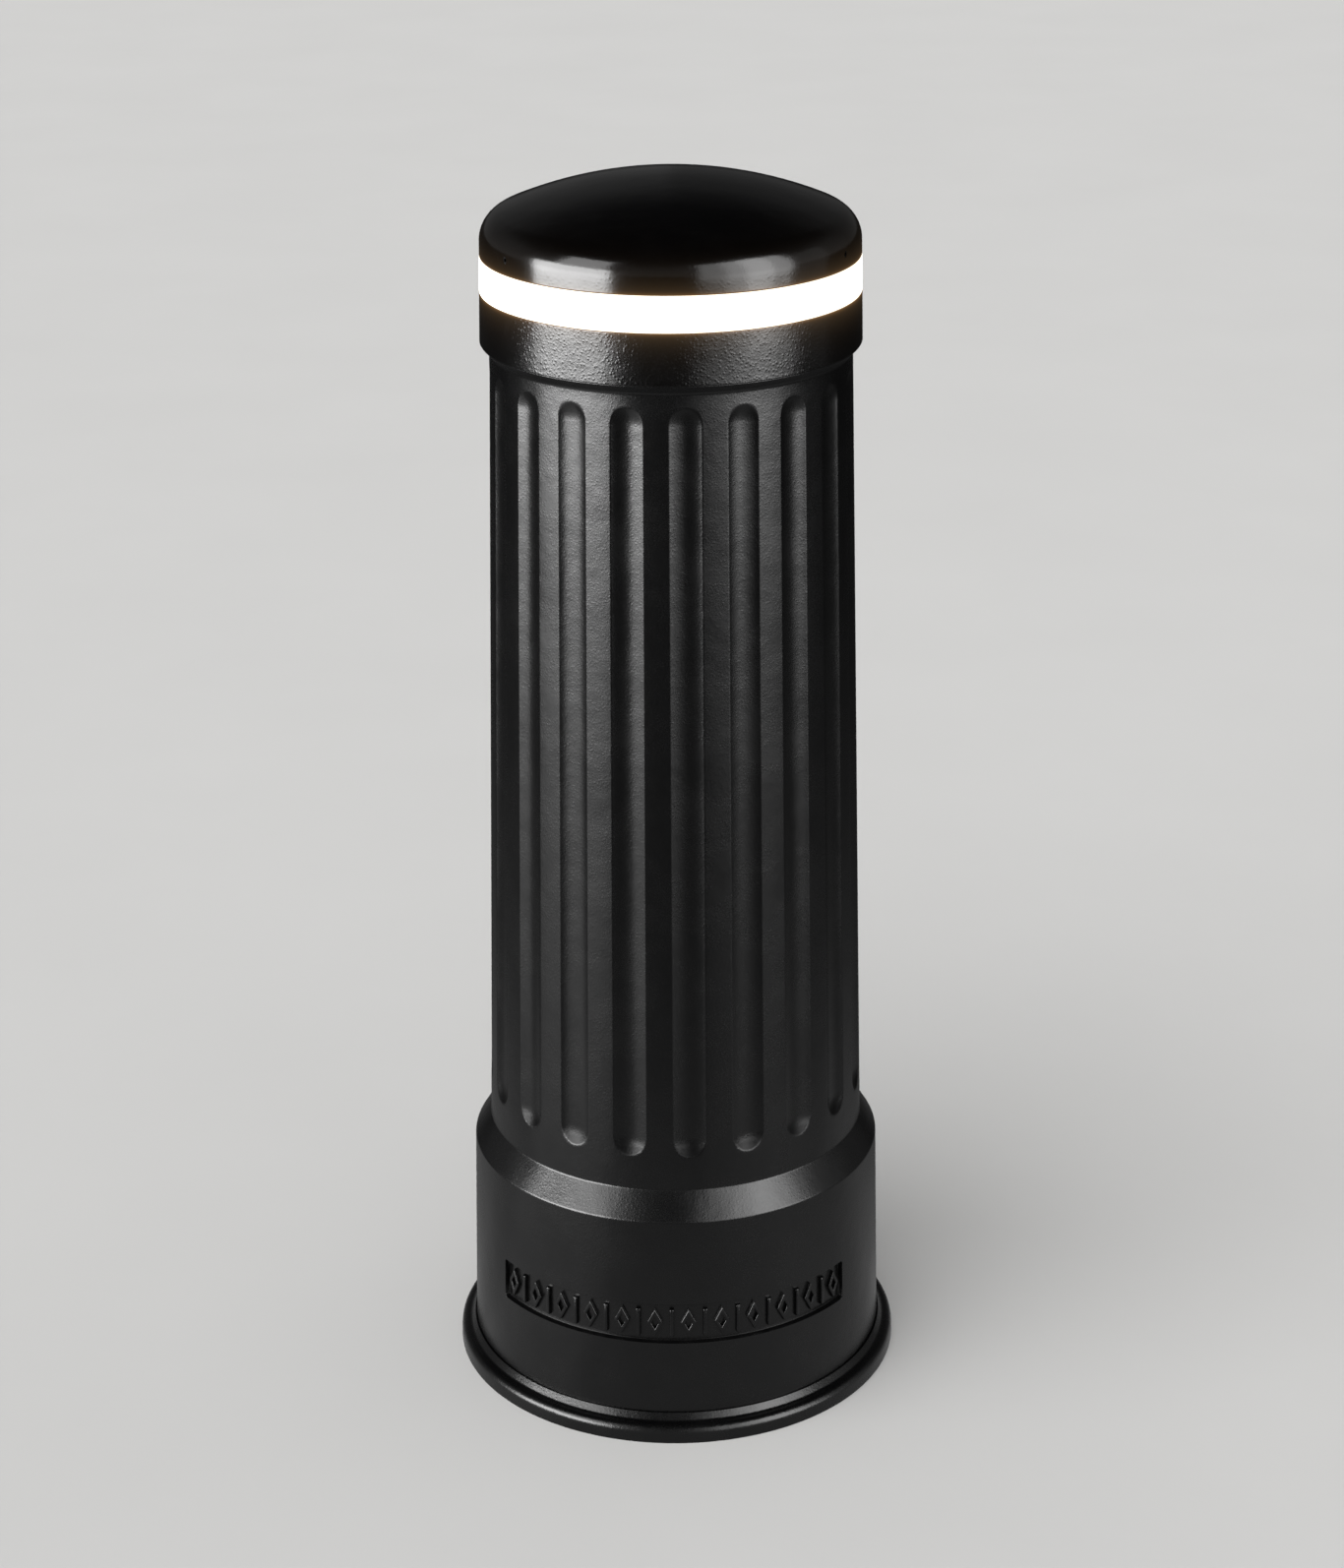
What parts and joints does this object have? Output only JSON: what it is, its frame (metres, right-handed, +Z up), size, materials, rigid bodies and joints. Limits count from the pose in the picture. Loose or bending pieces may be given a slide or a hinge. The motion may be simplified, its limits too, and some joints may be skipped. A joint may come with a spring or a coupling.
{
  "type": "retractable bollard",
  "caption": "Lit, fluted cast-iron street post with a domed cap, driven up and down by a screw inside a receiver set in the ground.",
  "frame": {"origin": "on the post's axis at paving level, with the post fully raised", "axes": "+Z up along the post; the front, with the name panel, faces -Y; +X to the right seen from the front"},
  "size_m": [0.4299, 0.43, 2.236],
  "materials": {
    "cast_black": "fine-textured semi-gloss black powder coat over cast iron",
    "head_black": "semi-gloss black powder coat over cast aluminium",
    "cap_black": "smooth gloss black powder coat over cast aluminium",
    "opal_lens": "opal diffusing plastic, lit from inside",
    "stainless": "stainless steel",
    "stainless_dark": "blackened stainless steel",
    "galvanised": "hot-dip galvanised steel",
    "machine_steel": "machined steel, oiled",
    "bearing_steel": "polished bearing steel",
    "aluminium_plain": "plain machined aluminium",
    "bronze": "cast bronze",
    "nickel_brass": "nickel-plated brass",
    "rubber_black": "black rubber",
    "cable_black": "black cable sheath",
    "polymer_white": "natural bearing polymer",
    "polymer_black": "black polymer",
    "plastic_grey": "grey moulded plastic",
    "motor_paint": "blue-grey machine enamel",
    "circuit_white": "white solder mask",
    "led_yellow": "phosphor-coated LED"
  },
  "bodies": {
    "receiver": {"ground_ring": "cast_black", "ring_screws": "stainless", "wiper_seal": "rubber_black", "receiver_casing": "galvanised", "drain_strainer": "stainless", "guide_rail": "stainless", "upper_guide_bush": "polymer_white", "stop_buffer": "rubber_black", "lower_buffers": "rubber_black", "limit_switches": "nickel_brass", "drive_frame": "galvanised", "drive_screws": "stainless", "bearing_housing": "machine_steel", "bearing_outer": "bearing_steel", "bearing_balls": "bearing_steel", "bearing_circlip": "machine_steel", "gearbox_case": "motor_paint", "gearbox_screws": "stainless", "motor_case": "motor_paint", "motor_brake": "motor_paint", "terminal_box": "plastic_grey", "power_cable": "cable_black", "cable_gland": "nickel_brass", "supply_lead": "cable_black", "coil_cable": "cable_black"},
    "post": {"column_casting": "cast_black", "guide_skirt": "stainless", "carriage_plate": "machine_steel", "wear_ring": "polymer_white", "core_pipe": "galvanised", "lower_spacer": "polymer_black", "upper_spacer": "polymer_black", "thrust_tube": "machine_steel", "tube_screws": "stainless", "lift_nut": "bronze", "nut_screws": "stainless", "coil_bracket": "galvanised", "riser_cable": "cable_black", "cable_grommet": "rubber_black", "head_plate": "galvanised", "head_screws": "stainless", "collar": "head_black", "led_drum": "aluminium_plain", "drum_screws": "stainless", "led_strip": "circuit_white", "led_chips": "led_yellow", "led_driver": "plastic_grey", "head_lead": "cable_black", "lens_ring": "opal_lens", "lens_gaskets": "rubber_black", "crown_plate": "aluminium_plain", "crown_screws": "stainless", "cap": "cap_black", "cap_set_screws": "stainless_dark"},
    "drive_screw": {"motor_shaft": "machine_steel", "shaft_coupling": "machine_steel", "screw_locknut": "machine_steel", "bearing_inner": "bearing_steel", "lift_screw": "machine_steel"}
  },
  "joints": [
    {"name": "post_slide", "type": "slide", "parent": "receiver", "child": "post", "axis": [0, 0, 1], "range_m": [-0.88, 0], "deforming": ["coil_cable"]},
    {"name": "screw_turn", "type": "hinge", "parent": "receiver", "child": "drive_screw", "pos_m": [0, 0, -1], "axis": [0, 0, 1], "continuous": true}
  ],
  "couplings": [
    {"joint": "screw_turn", "follows": "post_slide", "rad_per_m": -157.08}
  ]
}
